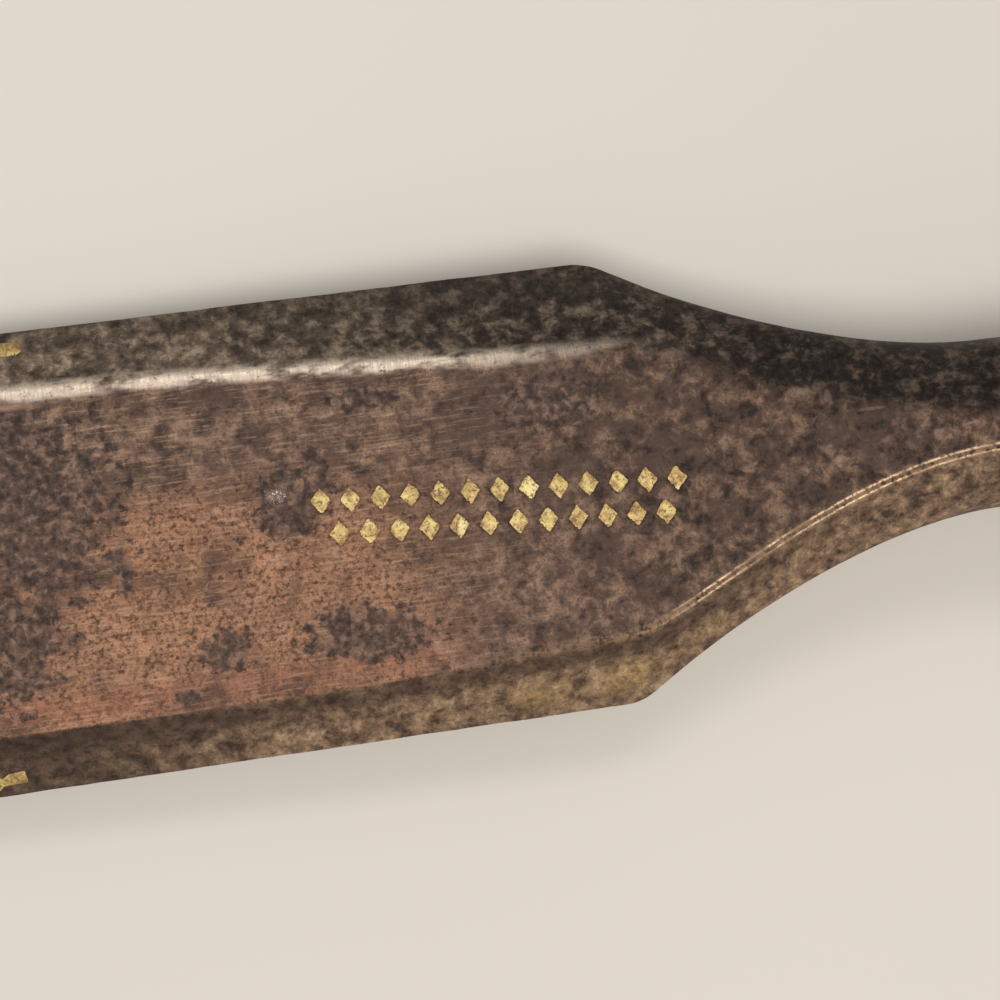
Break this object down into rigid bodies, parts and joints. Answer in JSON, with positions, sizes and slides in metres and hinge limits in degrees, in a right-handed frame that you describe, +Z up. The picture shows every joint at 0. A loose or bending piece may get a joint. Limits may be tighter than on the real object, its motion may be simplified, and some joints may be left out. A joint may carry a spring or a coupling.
{
  "type": "wood chisel",
  "caption": "Heavy bevelled socket chisel with a steel-faced iron blade, a swept neck, a tapered socket and a turned wooden handle with leather striking washers.",
  "frame": {"origin": "bottom centre of the whole tool as it lies at rest on its cutting edge and handle", "axes": "+X towards the handle, +Y to the left of a user who looks along +X, +Z up out of the stamped face"},
  "size_m": [0.383, 0.0386, 0.0345],
  "materials": {
    "wrought_iron": "dark brown patina with coppery bare patches, worn bright along the arrises",
    "cast_steel": "lapped grey steel with brown spots",
    "handle_wood": "oiled hardwood darkened by hands",
    "washer_leather": "compressed sole leather, burnished",
    "wedge_wood": "pale end-grain hardwood",
    "gilt": "worn gilding in shallow punched marks"
  },
  "bodies": {
    "blade": {"blade_body": "wrought_iron", "steel_facing": "cast_steel", "socket": "wrought_iron"},
    "handle": {"handle": "handle_wood", "leather_washer_1": "washer_leather", "leather_washer_2": "washer_leather", "leather_washer_3": "washer_leather", "leather_washer_4": "washer_leather", "tenon_wedge": "wedge_wood"}
  },
  "joints": [
    {"name": "handle_draw", "type": "slide", "parent": "blade", "child": "handle", "axis": [0.9992, 0, 0.0398], "range_m": [0, 0.06]}
  ]
}
